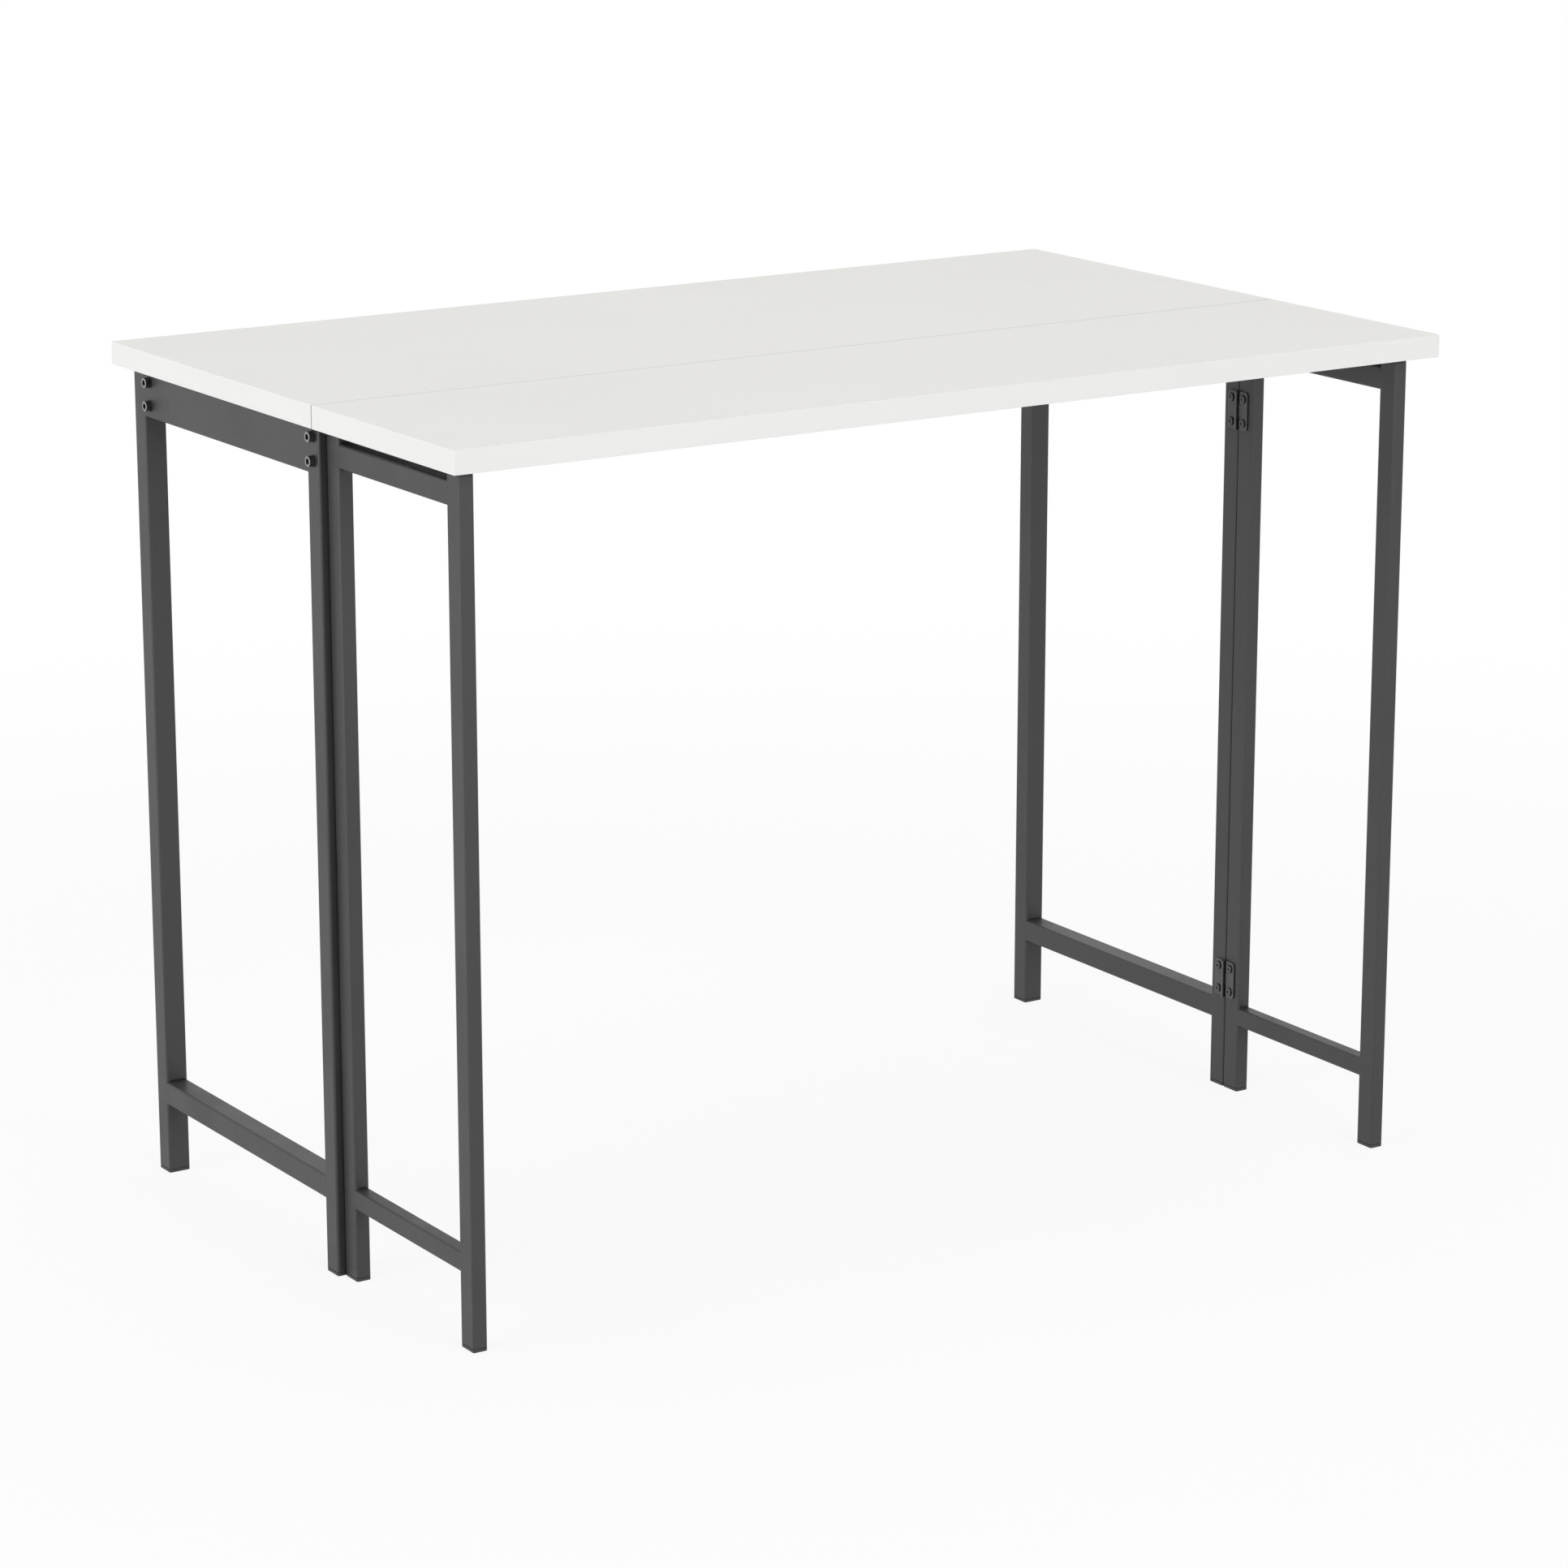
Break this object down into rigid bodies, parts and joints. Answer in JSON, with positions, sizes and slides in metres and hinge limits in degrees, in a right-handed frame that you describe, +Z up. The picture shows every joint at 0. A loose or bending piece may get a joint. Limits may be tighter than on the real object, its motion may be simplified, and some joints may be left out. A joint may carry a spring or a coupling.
{
  "type": "drop-leaf dining table",
  "caption": "Dining table with a white two-piece top on a dark tube frame; hinged gates swing out under the front leaf to hold it up.",
  "frame": {"origin": "on the floor under the middle of the opened top", "axes": "+X along the table's length, +Y towards the fixed rear edge, -Y towards the hinged leaf, +Z up"},
  "size_m": [1, 0.61, 0.76],
  "materials": {
    "white_board": "white melamine, satin",
    "white_edging": "satin",
    "grey_tube": "satin powder coat",
    "black_plastic": "matte",
    "bolt_steel": "dark zinc",
    "hinge_black": "satin",
    "plated_steel": "zinc plated",
    "pad_rubber": "matte"
  },
  "bodies": {
    "base": {"fixed_feet": "black_plastic", "front_rail": "grey_tube", "leaf_hinge_main_plates": "plated_steel", "leaf_hinge_main_screws": "plated_steel", "leaf_hinge_pins": "plated_steel", "left_apron": "grey_tube", "left_bolt_washers": "bolt_steel", "left_frame_bolts": "bolt_steel", "left_front_leg": "grey_tube", "left_hinge_fixed_screws": "hinge_black", "left_hinge_pins": "hinge_black", "left_lower_hinge_fixed_plate": "hinge_black", "left_rear_leg": "grey_tube", "left_stretcher": "grey_tube", "left_upper_hinge_fixed_plate": "hinge_black", "main_edge_band": "white_edging", "main_panel": "white_board", "rail_end_plates": "plated_steel", "rear_rail": "grey_tube", "right_apron": "grey_tube", "right_bolt_washers": "bolt_steel", "right_frame_bolts": "bolt_steel", "right_front_leg": "grey_tube", "right_hinge_fixed_screws": "hinge_black", "right_hinge_pins": "hinge_black", "right_lower_hinge_fixed_plate": "hinge_black", "right_rear_leg": "grey_tube", "right_stretcher": "grey_tube", "right_upper_hinge_fixed_plate": "hinge_black", "top_screws": "plated_steel"},
    "leaf": {"leaf_edge_band": "white_edging", "leaf_hinge_leaf_plates": "plated_steel", "leaf_hinge_leaf_screws": "plated_steel", "leaf_panel": "white_board", "leaf_rest_pads": "pad_rubber"},
    "left_gate": {"left_gate_caps": "black_plastic", "left_gate_feet": "black_plastic", "left_gate_hinge_leg": "grey_tube", "left_gate_hinge_screws": "hinge_black", "left_gate_lower_hinge_plate": "hinge_black", "left_gate_outer_leg": "grey_tube", "left_gate_stretcher": "grey_tube", "left_gate_top_rail": "grey_tube", "left_gate_upper_hinge_plate": "hinge_black"},
    "right_gate": {"right_gate_caps": "black_plastic", "right_gate_feet": "black_plastic", "right_gate_hinge_leg": "grey_tube", "right_gate_hinge_screws": "hinge_black", "right_gate_lower_hinge_plate": "hinge_black", "right_gate_outer_leg": "grey_tube", "right_gate_stretcher": "grey_tube", "right_gate_top_rail": "grey_tube", "right_gate_upper_hinge_plate": "hinge_black"}
  },
  "joints": [
    {"name": "left_gate_swing", "type": "hinge", "parent": "base", "child": "left_gate", "pos_m": [-0.4674, -0.06085, 0], "axis": [0, 0, 1], "range_deg": [0, 90]},
    {"name": "right_gate_swing", "type": "hinge", "parent": "base", "child": "right_gate", "pos_m": [0.4674, -0.06085, 0], "axis": [0, 0, -1], "range_deg": [0, 90]},
    {"name": "leaf_lift", "type": "hinge", "parent": "base", "child": "leaf", "pos_m": [0, -0.068, 0.7301], "axis": [-1, 0, 0], "range_deg": [0, 1.4]}
  ]
}
